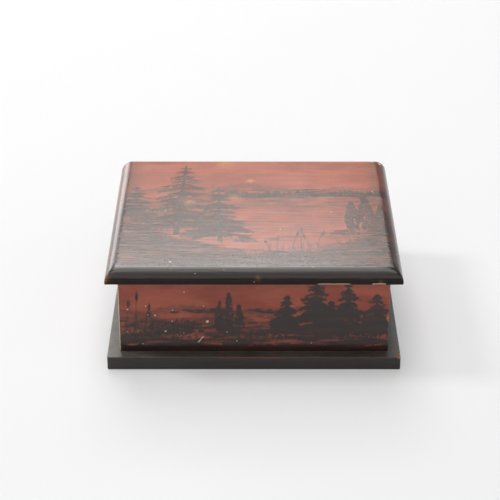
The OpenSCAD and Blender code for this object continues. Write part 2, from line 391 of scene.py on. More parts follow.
def sampled(table, u, v, at_u, at_v):
    """Values of a table on lines u by v at the given points, blended linearly between the
    four nearest."""
    i = np.clip(np.searchsorted(u, at_u) - 1, 0, len(u) - 2)
    j = np.clip(np.searchsorted(v, at_v) - 1, 0, len(v) - 2)
    s = np.clip((at_u - u[i]) / (u[i + 1] - u[i]), 0, 1)
    t = np.clip((at_v - v[j]) / (v[j + 1] - v[j]), 0, 1)
    near = table[j, i] * (1 - s) + table[j, i + 1] * s
    far = table[j + 1, i] * (1 - s) + table[j + 1, i + 1] * s
    return near * (1 - t) + far * t


def spots(at_u, at_v, places):
    """Soft round patches, each exp(-(distance / radius)^2) times its strength. places
    holds (u, v, radius, strength)."""
    total = np.zeros_like(at_u)
    for u, v, radius, strength in places:
        total += strength * np.exp(-((at_u - u) ** 2 + (at_v - v) ** 2) / radius**2)
    return total


def quads(ids):
    """Quads between neighbouring rows and columns of a table of vertex numbers."""
    return np.stack([ids[:-1, :-1], ids[:-1, 1:], ids[1:, 1:], ids[1:, :-1]], -1).reshape(-1, 4)


def halves(ids, turned=False):
    """The same quads as triangles, cut along one diagonal or, turned, along the other."""
    four = quads(ids)
    if turned:
        four = np.roll(four, -1, axis=1)
    return np.concatenate([four[:, [0, 1, 2]], four[:, [0, 2, 3]]])


def add_object(name, data):
    """A new object in the scene."""
    made = bpy.data.objects.new(name, data)
    bpy.context.scene.collection.objects.link(made)
    return made


def make_piece(name, points, faces, material, body, slot, replaced, fields):
    """A closed piece from points in millimetres and lists of corners, with one value per
    point for each field."""
    mesh = bpy.data.meshes.new(name)
    mesh.from_pydata((points * MM).tolist(), [], faces)
    for field, values in fields.items():
        made = mesh.attributes.new(field, "FLOAT", "POINT")
        made.data.foreach_set("value", np.asarray(values, np.float32))
    work = bmesh.new()
    work.from_mesh(mesh)
    bmesh.ops.recalc_face_normals(work, faces=work.faces)
    work.to_mesh(mesh)
    work.free()
    mesh.shade_smooth()
    mesh.set_sharp_from_angle(angle=math.radians(HARD_EDGE))
    mesh.materials.append(material)
    piece = add_object(name, mesh)
    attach(piece, body)
    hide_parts(*replaced)


def rounded_offset(side, front):
    """One distance from the distances to the side and to the front:
    (a^-p + b^-p)^(-1/p), p being MITRE_WEAR."""
    a, b = np.maximum(side, 1e-6), np.maximum(front, 1e-6)
    return (a**-MITRE_WEAR + b**-MITRE_WEAR) ** (-1 / MITRE_WEAR)


def mould_height(offset, thick):
    """Height of the lid's top by the distance in from its edge: a quarter round of radius
    r = MOULD_R, z = T - r + sqrt(r^2 - (r - offset)^2), and level past it."""
    return thick - MOULD_R + np.sqrt(MOULD_R**2 - (MOULD_R - np.clip(offset, 0, MOULD_R)) ** 2)


def mould_offsets(wall):
    """Distances in from the edge at equal steps along the quarter round, with a pair of
    lines where the wall below the lid has its face."""
    turns = np.linspace(math.pi / 2, 0, math.ceil(MOULD_R * math.pi / 2 / PITCH))
    return with_lines(MOULD_R - MOULD_R * np.sin(turns), (wall - 0.2, wall + 0.2))


def hinge_pockets():
    """(lowest, highest) x and y of the two pockets for hinge leaves, open at the back."""
    leaves = [box_mm(f"{side}_hinge_lid_leaf") for side in ("left", "right")]
    return [(low[:2] - POCKET_GAP, high[:2] + POCKET_GAP) for low, high in leaves]


def pocket_depth(x, y, pockets):
    """LEAF_T inside the pockets and 0 elsewhere."""
    deep = np.zeros_like(x)
    for low, high in pockets:
        deep[(x > low[0]) & (x < high[0]) & (y > low[1])] = LEAF_T
    return deep


def lid_chips(x):
    """How far the lid's lower front edge has worn back, along its length: a little all
    over, a long splinter off to the right of the middle and a chip near the corner."""
    rng = np.random.default_rng(3)
    wear = 0.10 + 0.07 * waves(x, rng, 37, 4)
    splinter = 0.45 * smooth(53, 58, x) * (1 - smooth(80, 85, x))
    chip = 1.1 * smooth(102, 104, x) * (1 - smooth(112, 115, x))
    return np.clip(wear, 0, 0.3) + splinter + chip


def coarse(lines, steps):
    """Numbers of every eighth line, of the first and last, and of those beside a step,
    but none close to an end."""
    keep = set(range(8, len(lines) - 8, 8)) | {0, len(lines) - 1}
    for step in steps:
        keep |= set(np.flatnonzero(np.abs(lines - step) < 0.25).tolist())
    return np.array(sorted(keep))


def lid_board(material):
    """The lid. Its top is a height field over the rounded_offset from the edges, so that
    the quarter rounds meet in mitres worn rounder further in. Rings go down its edge, and
    a coarse grid closes it below."""
    low, high = box_mm("lid_board")
    walls, _ = box_mm("front_board")
    thick = high[2] - low[2]
    pockets = hinge_pockets()
    offsets = mould_offsets(walls[0] - low[0])
    steps_x = [edge[0] for pocket in pockets for edge in pocket]
    steps_y = [pockets[0][0][1]]
    middle = even(low[0] + MOULD_R, high[0] - MOULD_R)[1:-1]
    x = np.concatenate([low[0] + offsets, middle, (high[0] - offsets)[::-1]])
    x = with_lines(x, [step + s * STEP for step in steps_x for s in (-1, 1)])
    back = high[1] - BACK_EASE * np.array([1.0, 0.6, 0.3, 0.1, 0.0])
    y = np.concatenate([low[1] + offsets, even(low[1] + MOULD_R, back[0])[1:-1], back])
    y = with_lines(y, [step + s * STEP for step in steps_y for s in (-1, 1)])
    picture = lid_picture(x, y)

    # The top, with its two front corners drawn in to an arc of CORNER_R
    gx, gy = np.meshgrid(x, y)
    offset = rounded_offset(np.minimum(gx - low[0], high[0] - gx), gy - low[1])
    fall = np.clip(BACK_EASE - (high[1] - gy), 0, BACK_EASE)
    top = low[2] + mould_height(offset, thick) - (BACK_EASE - np.sqrt(BACK_EASE**2 - fall**2))
    px, py = gx.copy(), gy.copy()
    for sign, edge in ((1, low[0]), (-1, high[0])):
        a, b = CORNER_R - sign * (gx - edge), CORNER_R - (gy - low[1])
        near = (a > 0) & (b > 0)
        shrink = np.maximum(a, b)[near] / np.hypot(a, b)[near]
        px[near] = edge + sign * (CORNER_R - a[near] * shrink)
        py[near] = low[1] + CORNER_R - b[near] * shrink
    points = [np.stack([px, py, top], -1).reshape(-1, 3)]
    ids = np.arange(gx.size).reshape(gx.shape)
    half = len(x) // 2
    faces = halves(ids[:, : half + 1]).tolist() + halves(ids[:, half:], turned=True).tolist()

    # Rings down the edge: share of the height left, drawn in, and how much of the wear shows
    ring = np.concatenate([ids[0, :-1], ids[:-1, -1], ids[-1, :0:-1], ids[:0:-1, 0]])
    rim_x, rim_y, rim_z = points[0][ring].T
    foot = low[2] + pocket_depth(rim_x, rim_y, pockets)
    front = rim_y < low[1] + CORNER_R
    chip = np.where(front, lid_chips(rim_x), 0)
    count = gx.size
    for share, inset, torn in ((0.66, 0, 0.1), (0.36, 0, 0.35), (0.14, 0.08, 0.75), (0, 0.3, 1)):
        in_y = np.clip(rim_y, low[1] + inset, high[1] - inset) + torn * chip
        in_x = np.clip(rim_x, low[0] + inset, high[0] - inset)
        points.append(np.stack([in_x, in_y, foot + (rim_z - foot) * share], -1))
        below = np.arange(count, count + len(ring))
        count += len(ring)
        faces += quads(np.stack([np.append(ring, ring[0]), np.append(below, below[0])])).tolist()
        ring = below

    # The underside, and strips of faces that join the last ring to it
    cols, rows = coarse(x, [*steps_x, walls[0], -walls[0]]), coarse(y, [*steps_y, walls[1]])
    in_x, in_y = x[cols], y[rows]
    in_x[[0, -1]] += (RIM_IN, -RIM_IN)
    in_y[[0, -1]] += (RIM_IN, -RIM_IN)
    ux, uy = np.meshgrid(in_x, in_y)
    points.append(np.stack([ux, uy, low[2] + pocket_depth(ux, uy, pockets)], -1).reshape(-1, 3))
    under = np.arange(count, count + ux.size).reshape(ux.shape)
    faces += quads(under).tolist()
    right, far = len(x) - 1, len(y) - 1
    for first, stops, inner in (
        (0, cols, under[0]),
        (right, rows, under[:, -1]),
        (right + far, right - cols[::-1], under[-1, ::-1]),
        (2 * right + far, far - rows[::-1], under[::-1, 0]),
    ):
        for k in range(len(stops) - 1):
            outer = ring[np.arange(first + stops[k], first + stops[k + 1] + 1) % len(ring)]
            faces.append([*outer.tolist(), int(inner[k + 1]), int(inner[k])])

    points = np.concatenate(points)
    at_x, at_y, at_z = points.T
    below = np.arange(len(points)) >= count
    bare = below & (np.abs(at_x) < -walls[0]) & (at_y > walls[1])
    ink, glaze = picture.layers(at_x, at_y)
    side = np.minimum(at_x - low[0], high[0] - at_x)
    edge = np.minimum(side, at_y - low[1])
    lower = smooth(2.2, 0.7, at_z - low[2]) * smooth(1.0, 0.0, edge) * np.where(below, 0.5, 1)
    torn = np.where(at_y < low[1] + 3, lid_chips(at_x), 0.15)
    worn = lower * np.clip(0.1 + 1.7 * torn, 0, 1)
    worn += 0.35 * smooth(1.4, 0, high[1] - at_y) * smooth(1.5, 0, high[2] - at_z)
    worn += spots(at_x, at_y, LID_BARE)
    moulded = smooth(MOULD_R, MOULD_R - 3, edge)
    flat = smooth(MOULD_R - 4, MOULD_R + 2, edge)
    fields = {
        "ink": np.where(below, REACH, ink - 3 * spots(at_x, at_y, LID_RED)),
        "glaze": 1 - (1 - glaze) * (1 - 0.8 * smooth(28, 5, side)),
        "glow": 0.2 * flat + 1.5 * (spots(at_x, at_y, LID_OCHRE) + moulded * spots(at_x, at_z, LID_RUST)),
        "worn": worn,
        "pale": np.maximum(0.5 * (smooth(45, 50, at_x) + smooth(98, 102, at_x)), smooth(2, 3, at_z - low[2])),
        # Darker and less glossy towards the lid's lower edge
        "low_edge_dark": smooth(6.5, 2.5, at_z - low[2]),
        "spatter": 0.012 + 0.012 * moulded,
        "turned": np.where((side < MOULD_R) & (side < at_y - low[1]), 1.0, 0.0),
        "paint": np.where(bare, 0.0, 1.0),
    }
    looks = ("lid", "varnished_red_wood", ["lid_board"], fields)
    make_piece("lid_painted_board", points, faces, material, *looks)


def corner_arc(at, radius, start):
    """Points of a quarter circle round a centre, from the angle start on, anticlockwise."""
    turn = math.radians(start) + np.linspace(0, math.pi / 2, 5)
    return np.stack([at[0] + radius * np.cos(turn), at[1] + radius * np.sin(turn)], -1)


def front_outline(low, high, side_face):
    """The front board in plan, anticlockwise: a dense outer face with worn corners, and
    a rebate at each end that leaves a lip over the side board's end."""
    x = even(low[0] + BOARD_EASE, high[0] - BOARD_EASE)[1:-1]
    face = np.stack([x, np.full_like(x, low[1])], -1)
    left = corner_arc((low[0] + BOARD_EASE, low[1] + BOARD_EASE), BOARD_EASE, 180)
    right = corner_arc((high[0] - BOARD_EASE, low[1] + BOARD_EASE), BOARD_EASE, 270)
    lip = low[1] + REBATE_LIP
    rebates = [(high[0], lip), (side_face, lip), (side_face, high[1]),
               (-side_face, high[1]), (-side_face, lip), (low[0], lip)]
    return np.concatenate([left, face, right, rebates])


def side_outline(low, high):
    """A side board in plan, anticlockwise, with a dense outer face."""
    y = even(low[1], high[1])
    if low[0] < 0:
        face = np.stack([np.full_like(y, low[0]), y[::-1]], -1)
        return np.concatenate([face, [(high[0], low[1]), (high[0], high[1])]])
    face = np.stack([np.full_like(y, high[0]), y], -1)
    return np.concatenate([face, [(low[0], high[1]), (low[0], low[1])]])


def wall_lines(low, high):
    """Heights up a wall board, and how far its outline is drawn in at each: a quarter
    round of BOARD_EASE at both ends, and a last ring on the flat of the end."""
    ease = BOARD_EASE * np.array([0, 0, 0.1, 0.4, 1])
    inset = BOARD_EASE - np.sqrt(BOARD_EASE**2 - (BOARD_EASE - ease) ** 2)
    inset[0] += BOARD_EASE / 2
    middle = even(low + BOARD_EASE, high - BOARD_EASE)[1:-1]
    z = np.concatenate([low + ease, middle, high - ease[::-1]])
    return z, np.concatenate([inset, np.zeros_like(middle), inset[::-1]])


def wall_board(node, material, outline, out, along, picture, ageing):
    """A wall board: its outline in plan carried up the lines of wall_lines and capped.
    out is the axis that it faces along and along the axis of its length, 0 for x and 1
    for y. Paint covers its outer face and the ends of its lips; the rest is bare. ageing
    gives its fields of wear."""
    low, high = box_mm(node)
    z, inset = wall_lines(low[2], high[2])
    step = np.roll(outline, -1, axis=0) - np.roll(outline, 1, axis=0)
    inward = np.stack([-step[:, 1], step[:, 0]], -1) / np.hypot(*step.T)[:, None]
    plan = outline[None] + inward[None] * inset[:, None, None]
    height = np.broadcast_to(z[:, None, None], (*plan.shape[:2], 1))
    points = np.concatenate([plan, height], -1).reshape(-1, 3)
    ids = np.arange(len(points)).reshape(plan.shape[:2])
    faces = quads(np.concatenate([ids, ids[:, :1]], 1)).tolist()
    faces += [ids[0, ::-1].tolist(), ids[-1].tolist()]
    face = low[out] if abs(low[out]) > abs(high[out]) else high[out]
    depth = np.abs(points[:, out] - face)
    ends = np.minimum(points[:, along] - low[along], high[along] - points[:, along])
    capped = np.isin(np.arange(len(points)), np.concatenate([ids[0], ids[-1]]))
    at, z = points[:, along], points[:, 2]
    ink, glaze = picture.layers(at, z)
    fields = {
        "ink": ink,
        "glaze": glaze,
        "turned": np.full(len(points), float(along)),
        "paint": np.where(((depth < 1.2) | (ends < 1.2) & (depth < REBATE_LIP + 0.1)) & ~capped, 1.0, 0.0),
        **ageing(at, z, np.maximum(ends, depth), low, high),
    }
    looks = ("box", "red_painted_wood", [node], fields)
    make_piece(f"{node[:-6]}_painted_board", points, faces, material, *looks)


def front_ageing(along, z, corner, low, high):
    """The front board's upright corners, pale on the left and broken on the right, the
    marks of FRONT_BARE, a scratch, and white dots that thin out from the left.
    corner is the distance to the nearer corner."""
    strength = np.where(along < 0, 0.72, 0.42)
    start, end = np.array(SCRATCH)
    step = end - start
    share = np.clip(((along - start[0]) * step[0] + (z - start[1]) * step[1]) / (step @ step), 0, 1)
    away = np.hypot(along - start[0] - share * step[0], z - start[1] - share * step[1])
    worn = strength * smooth(1.0, 0.4, corner) + 0.85 * smooth(0.8, 0.3, away)
    return {
        "worn": worn + spots(along, z, FRONT_BARE),
        "pale": smooth(115, 60, along),
        "spatter": 0.006 + 0.05 * np.exp(-(((along + 62) / 50) ** 2)),
    }


def side_ageing(along, z, corner, low, high):
    """A side board's worn line above the base and along its top, and a few white dots."""
    worn = 0.4 * smooth(0.9, 0.2, z - low[2]) + 0.3 * smooth(1.5, 0.2, high[2] - z)
    return {"worn": worn, "spatter": np.full(len(z), 0.012)}


def front_board(material):
    """The front board with its picture. Its rebates reach in to the side boards' faces."""
    low, high = box_mm("front_board")
    outline = front_outline(low, high, box_mm("right_board")[0][0])
    picture = front_picture(even(low[0], high[0]), even(low[2], high[2]))
    wall_board("front_board", material, outline, 1, 0, picture, front_ageing)


def side_board(side, seed, material):
    """The left or right board, with a picture drawn from its own seed."""
    low, high = box_mm(f"{side}_board")
    picture = side_picture(even(low[1], high[1]), even(low[2], high[2]), seed)
    wall_board(f"{side}_board", material, side_outline(low, high), 0, 1, picture, side_ageing)


# Colours are linear. The painted ones are as they look on the box, the bare ones as aged wood
RED_DEEP = (0.25, 0.037, 0.018, 1)
RED_WARM = (0.38, 0.070, 0.034, 1)
RED_PINK = (0.45, 0.115, 0.062, 1)
GLAZE_BROWN = (0.045, 0.024, 0.019, 1)
INK = (0.0165, 0.0140, 0.0128, 1)
INK_BROWN = (0.030, 0.020, 0.015, 1)
# The near black that the lid's lower edge is darkened towards
LOW_EDGE_BLACK = (0.018, 0.014, 0.012, 1)
# Dust, also used as painted light from the left on the base's left end
DUST_AND_LEFT_LIGHT = (0.19, 0.165, 0.135, 1)
DIRT = (0.16, 0.125, 0.075, 1)
OCHRE = (0.56, 0.22, 0.08, 1)
CREAM = (0.66, 0.55, 0.40, 1)
ORANGE_WOOD = (0.44, 0.17, 0.055, 1)
FLECK = (0.72, 0.68, 0.60, 1)
PINE_PALE = (0.42, 0.27, 0.145, 1)
PINE_DARK = (0.27, 0.15, 0.07, 1)
BRASS = (0.42, 0.30, 0.13, 1)
SCREW_BRASS = (0.48, 0.34, 0.15, 1)
BRASS_BROWN = (0.11, 0.065, 0.03, 1)
IRON = (0.10, 0.09, 0.085, 1)
RUST = (0.13, 0.05, 0.022, 1)
# How rough bare wood and dirt are, and how deep a scuff goes in millimetres
BARE_ROUGH = 0.66
SCUFF_DEEP = 0.12


class Value:
    """What a node gives at one socket. Sums and comparisons with it add Math nodes."""

    def __init__(self, socket):
        self.socket = socket
        self.tree = socket.id_data

    def __add__(self, other):
        return reckon("ADD", self, other)

    def __sub__(self, other):
        return reckon("SUBTRACT", self, other)

    def __rsub__(self, other):
        return reckon("SUBTRACT", other, self)

    def __mul__(self, other):
        return reckon("MULTIPLY", self, other)

    def __truediv__(self, other):
        return reckon("DIVIDE", self, other)

    def __lt__(self, other):
        return reckon("LESS_THAN", self, other)

    def __gt__(self, other):
        return reckon("GREATER_THAN", self, other)

    def __abs__(self):
        return reckon("ABSOLUTE", self)

    def feed(self, socket):
        self.tree.links.new(self.socket, socket)


def put(tree, kind, feeds=(), **settings):
    """Adds a node with these settings. Each socket named in feeds gets a link or a value."""
    made = tree.nodes.new("ShaderNode" + kind)
    for setting, value in settings.items():
        setattr(made, setting, value)
    for socket, value in dict(feeds).items():
        if isinstance(value, Value):
            value.feed(made.inputs[socket])
        else:
            made.inputs[socket].default_value = value
    return made


def results(node):
    """What a node gives, by the names of its sockets."""
    return {socket.name: Value(socket) for socket in node.outputs}


def reckon(operation, a, b=0.0):
    tree = a.tree if isinstance(a, Value) else b.tree
    return Value(put(tree, "Math", {0: a, 1: b}, operation=operation).outputs[0])


def larger(a, b):
    return reckon("MAXIMUM", a, b)


def smaller(a, b):
    return reckon("MINIMUM", a, b)


def vectors(operation, a, b=(0, 0, 0)):
    """Vector arithmetic, axis by axis."""
    return Value(put(a.tree, "VectorMath", {0: a, 1: b}, operation=operation).outputs[0])


def axes(vector):
    return [Value(socket) for socket in put(vector.tree, "SeparateXYZ", {0: vector}).outputs]


def ramp(value, low, high, start=0.0, end=1.0):
    """start where value is low, end where it is high, and a smooth step in between."""
    feeds = {"Value": value, "From Min": low, "From Max": high, "To Min": start, "To Max": end}
    return Value(put(value.tree, "MapRange", feeds, interpolation_type="SMOOTHSTEP").outputs["Result"])


def blend(share, a, b):
    return Value(put(share.tree, "Mix", {0: share, 6: a, 7: b}, data_type="RGBA").outputs[2])


def noise(vector, scale, detail, roughness):
    """Cloudy noise. scale is one number, or one for each axis."""
    if isinstance(scale, tuple):
        vector, scale = vectors("MULTIPLY", vector, scale), 1.0
    feeds = {"Vector": vector, "Scale": scale, "Detail": detail, "Roughness": roughness}
    return Value(put(vector.tree, "TexNoise", feeds).outputs[0])


def brushwork(Vector):
    """Streaks that a brush leaves along X in thin paint. Broad is slow and Fine quick
    across the streaks, and Height is the ridges of the film, in millimetres."""
    broad = noise(Vector, (0.016, 0.16, 0.16), 4, 0.6)
    fine = noise(Vector, (0.035, 0.9, 0.9), 3, 0.6)
    ridges = noise(Vector, (0.06, 2.2, 2.2), 2, 0.5)
    return {
        "Broad": ramp(broad, 0.3, 0.7),
        "Fine": ramp(fine, 0.28, 0.72),
        "Height": fine * 0.035 + ridges * 0.02,
    }


def scuffs(Vector, Amount):
    """Where paint is gone: a broken mask that covers more as Amount goes from 0 to 1."""
    grit = noise(Vector, 0.9, 4, 0.65)
    patch = noise(Vector, (0.14, 0.3, 0.3), 3, 0.6)
    short = Amount + (grit * 0.6 + patch * 0.4) * 0.9 - 0.9
    return {"Mask": ramp(short, 0.0, 0.12)}


def flecks(Vector, Spacing, Size, Share):
    """Stray dots: round spots of Size in cells Spacing apart, in millimetres, in a Share
    of the cells."""
    feeds = {"Vector": Vector, "Scale": reckon("DIVIDE", 1.0, Spacing), "Randomness": 1.0}
    cell = results(put(Vector.tree, "TexVoronoi", feeds))
    lot = results(put(Vector.tree, "SeparateColor", {"Color": cell["Color"]}))
    reach = Size * ramp(lot["Green"], 0.0, 1.0, 0.35, 1.0)
    spot = ramp(cell["Distance"] * Spacing / reach, 1.0, 0.7)
    return {"Mask": spot * (lot["Red"] < Share)}


def bare_pine(Vector):
    """Old bare softwood with its grain along X: dark lines of late wood in wandering
    bands and fine pores. Height is in millimetres."""
    sway = noise(Vector, (0.006, 0.03, 0.03), 2, 0.5)
    pores = noise(Vector, (0.10, 3.0, 3.0), 3, 0.6)
    x, y, z = axes(Vector)
    ring = reckon("FRACT", (y + z) * 0.16 + sway * 6.0)
    late = ramp(ring, 0.35, 0.92) * ramp(ring, 1.0, 0.93)
    mixed = late * 0.45 + pores * 0.55
    return {"Color": blend(ramp(mixed, 0.1, 0.95), PINE_PALE, PINE_DARK), "Height": mixed * -0.05}


def tarnish(Vector):
    """Dull spots and scratches on old metal: Mask is how brown it is, and Height its pits
    in millimetres."""
    cloud = noise(Vector, 0.22, 4, 0.6)
    grit = noise(Vector, 1.6, 3, 0.6)
    scratch = noise(Vector, (0.2, 4.0, 4.0), 2, 0.5)
    return {"Mask": ramp(cloud * 0.65 + grit * 0.35, 0.38, 0.62), "Height": grit * 0.03 + scratch * 0.02}


def edge_distance(Vector, Half):
    """Distance in millimetres to the nearest edge of a box of Half size round the
    vector's origin: the middle one of the distances to its three pairs of faces."""
    a, b, c = axes(vectors("SUBTRACT", Half, vectors("ABSOLUTE", Vector)))
    return {"Distance": larger(smaller(a, b), smaller(larger(a, b), c))}


def make_group(work, **kinds):
    """A node group of the sums that a function does. kinds are the types of what it is
    given besides Vector, and what it gives back are the group's outputs."""
    tree = bpy.data.node_groups.new(work.__name__, "ShaderNodeTree")
    for label, kind in {"Vector": "Vector", **kinds}.items():
        tree.interface.new_socket(label, in_out="INPUT", socket_type="NodeSocket" + kind)
    given = results(tree.nodes.new("NodeGroupInput"))
    made = work(**{label: given[label] for label in ("Vector", *kinds)})
    for label in made:
        kind = "NodeSocketColor" if label == "Color" else "NodeSocketFloat"
        tree.interface.new_socket(label, in_out="OUTPUT", socket_type=kind)
    out = tree.nodes.new("NodeGroupOutput").inputs
    for label, value in made.items():
        value.feed(out[label])
    return tree


GROUPS = {
    "brushwork": make_group(brushwork),
    "scuffs": make_group(scuffs, Amount="Float"),
    "flecks": make_group(flecks, Spacing="Float", Size="Float", Share="Float"),
    "bare_pine": make_group(bare_pine),
    "tarnish": make_group(tarnish),
    "edge_distance": make_group(edge_distance, Half="Vector"),
}


def grouped(name, vector, **feeds):
    """What one of the groups gives in a material, with values of its own."""
    return results(put(vector.tree, "Group", {"Vector": vector, **feeds}, node_tree=GROUPS[name]))


def new_material(name):
    """A material, its node tree and its Principled shader."""
    material = bpy.data.materials.new(name)
    material.use_nodes = True
    tree = material.node_tree
    return material, tree, tree.nodes["Principled BSDF"]


def placed(tree, along_y=False):
    """Object coordinates in millimetres, turned so that X runs along the board."""
    turn = math.pi / 2 if along_y else 0.0
    where = results(put(tree, "TexCoord"))["Object"]
    feeds = {"Vector": where, "Rotation": (0, 0, turn), "Scale": (1 / MM, 1 / MM, 1 / MM)}
    return Value(put(tree, "Mapping", feeds).outputs[0])


def field(tree, name):
    return results(put(tree, "Attribute", attribute_name=name))["Fac"]


def from_edges(at, low, high):
    """Distance to the nearest edge of the box from low to high."""
    middle = vectors("SUBTRACT", at, tuple((low + high) / 2))
    return grouped("edge_distance", middle, Half=tuple((high - low) / 2))["Distance"]


def finish(shader, color, roughness, height):
    """Feeds a Principled shader. height is in millimetres."""
    color.feed(shader.inputs["Base Color"])
    roughness.feed(shader.inputs["Roughness"])
    bump = put(height.tree, "Bump", {"Height": height, "Strength": 1.0, "Distance": MM})
    Value(bump.outputs[0]).feed(shader.inputs["Normal"])


def painted_wood():
    """Brick red paint with a thin dark glaze, black brush strokes over both, and bare
    wood where the paint is worn or was never put on. Reads the piece's own fields."""
    material, tree, shader = new_material("painted_boards")
    ways = {0: field(tree, "turned"), 4: placed(tree), 5: placed(tree, along_y=True)}
    at = Value(put(tree, "Mix", ways, data_type="VECTOR").outputs[1])
    brush = grouped("brushwork", at)
    pine = grouped("bare_pine", at)
    grit = noise(at, (0.8, 1.3, 1.3), 3, 0.6)
    cloud = noise(at, (0.02, 0.045, 0.045), 4, 0.55)

    # The ground coat, then the glaze
    warm = ramp(brush["Broad"], 0, 1, 0.5, 1.0) * ramp(cloud, 0.35, 0.6, 0.3, 1.0)
    red = blend(warm, RED_DEEP, RED_WARM)
    light = ramp(brush["Fine"], 0, 1, 0.5, 1.0) * ramp(cloud, 0.45, 0.65, 0.0, 0.4)
    red = blend(light, red, RED_PINK)
    thin = ramp(brush["Fine"], 0.0, 1.0, 1.15, 0.85)
    glaze = Value(put(tree, "Clamp", {0: field(tree, "glaze") * thin}).outputs[0])
    paint = blend(glaze * 0.9, red, GLAZE_BROWN)

    # The black strokes, ragged at their rims
    rag = (grit - 0.5) * 1.1 + (brush["Fine"] - 0.5) * 0.3
    stroke = ramp(field(tree, "ink") + rag, -0.3, 0.4)
    body = ramp(brush["Broad"], 0.0, 1.0, 0.90, 0.98)
    paint = blend(stroke * body, paint, blend(brush["Fine"] * cloud, INK, INK_BROWN))

    # Darker and less glossy towards the lid's lower edge, then age: rubbed patches that glow ochre, chips
    # down to the wood and stray white dots
    low_edge_dark = field(tree, "low_edge_dark") * ramp(grit, 0.2, 0.5, 0.7, 1.0)
    paint = blend(low_edge_dark * 0.7, paint, LOW_EDGE_BLACK)
    glow = field(tree, "glow") * ramp(grit, 0.3, 0.62) * ramp(stroke, 0.0, 1.0, 1.0, 0.6)
    paint = blend(glow, paint, OCHRE)
    scuff = grouped("scuffs", at, Amount=field(tree, "worn"))["Mask"]
    paint = blend(scuff, paint, blend(field(tree, "pale"), ORANGE_WOOD, CREAM))
    dots = grouped("flecks", at, Spacing=3.4, Size=0.62, Share=field(tree, "spatter"))["Mask"]
    paint = blend(dots * 0.85, paint, FLECK)

    covered = ramp(field(tree, "paint"), 0.35, 0.65)
    gloss = ramp(brush["Fine"], 0.0, 1.0, 0.18, 0.24)
    dull = larger(scuff, larger(low_edge_dark, dots)) * 0.62
    rough = larger(larger(gloss, dull), (1.0 - covered) * BARE_ROUGH)
    film = brush["Height"] + stroke * 0.01 - scuff * SCUFF_DEEP
    # Less glossy towards the lid's lower edge
    ramp(low_edge_dark, 0.0, 1.0, 0.5, 0.15).feed(shader.inputs["Specular IOR Level"])
    finish(shader, blend(covered, pine["Color"], paint), rough, film * covered + pine["Height"])
    return material


def black_base(node):
    """The base board: dusty black paint, red where it has worn along the front edge,
    orange wood at the right-hand front corner, and bare under the box and inside it."""
    material, tree, shader = new_material("black_painted_base")
    low, high = box_mm(node)
    side, front = box_mm("right_board"), box_mm("front_board")
    at = placed(tree)
    brush = grouped("brushwork", at)
    pine = grouped("bare_pine", at)
    grit = noise(at, 0.5, 3, 0.6)
    patch = noise(at, 0.05, 3, 0.6)
    x, y, z = axes(at)
    out_x, out_y = abs(x), abs(y)
    away = from_edges(at, low, high)

    # Dust on what looks up, made thicker towards the left end as painted light from the left, and dirt in the
    # corner below the walls
    up = axes(results(put(tree, "NewGeometry"))["Normal"])[2]
    cloud = ramp(noise(at, 0.05, 4, 0.6), 0.3, 0.7, 0.45, 1.0)
    grain = ramp(noise(at, 1.4, 2, 0.5), 0.25, 0.7, 0.6, 1.0)
    dust = ramp(up, 0.3, 0.95) * (cloud * grain)
    gap = larger(out_x - side[1][0], out_y + front[0][1])
    joint = ramp(gap, 1.5, 0.3) * ramp(grit, 0.3, 0.6) * (z > high[2] - 0.5)
    paint = blend(brush["Fine"], INK, INK_BROWN)
    # Dust, painted heavier towards the left end to stand in for light from the left
    paint = blend(dust * ramp(x, low[0] + 60, low[0] + 8, 0.52, 1.0), paint, DUST_AND_LEFT_LIGHT)
    paint = blend(joint * 0.8, paint, DIRT)

    # Wear: a red line on the middle of the front edge, and wood at the right-hand corner
    line = ramp(x, -34, -28) * ramp(x, 30, 18, 0.25, 1.0) * ramp(away, 1.1, 0.5)
    line = line * (y < low[1] + 1.5) * (z > high[2] - 1.5)
    paint = blend(line * 0.8, paint, RED_DEEP)
    near = ramp(away, 1.2, 0.2) * ramp(patch, 0.5, 0.72, 0.0, 0.6)
    right = ramp(away, 2.2, 0.4) * ramp(x, high[0] - 5, high[0] - 1)
    right = right * ramp(y, low[1] + 12, low[1] + 5) * ramp(z, high[2] - 4, high[2] - 1)
    scuff = grouped("scuffs", at, Amount=larger(near, right))["Mask"]
    paint = blend(scuff, paint, blend(right, RED_DEEP, ORANGE_WOOD))
    dots = grouped("flecks", at, Spacing=5.0, Size=0.5, Share=0.03)["Mask"]
    paint = blend(dots * 0.7, paint, FLECK)

    inside = (out_x < side[0][0]) * (out_y < -front[1][1]) * (z > high[2] - 1)
    bare = larger(inside, z + grit * 0.8 < 0.7)
    rough = larger(ramp(larger(scuff, dust), 0.0, 1.0, 0.3, 0.46), larger(bare, joint) * BARE_ROUGH)
    film = brush["Height"] - scuff * SCUFF_DEEP
    finish(shader, blend(bare, paint, pine["Color"]), rough, film * (1.0 - bare) + pine["Height"])
    return material


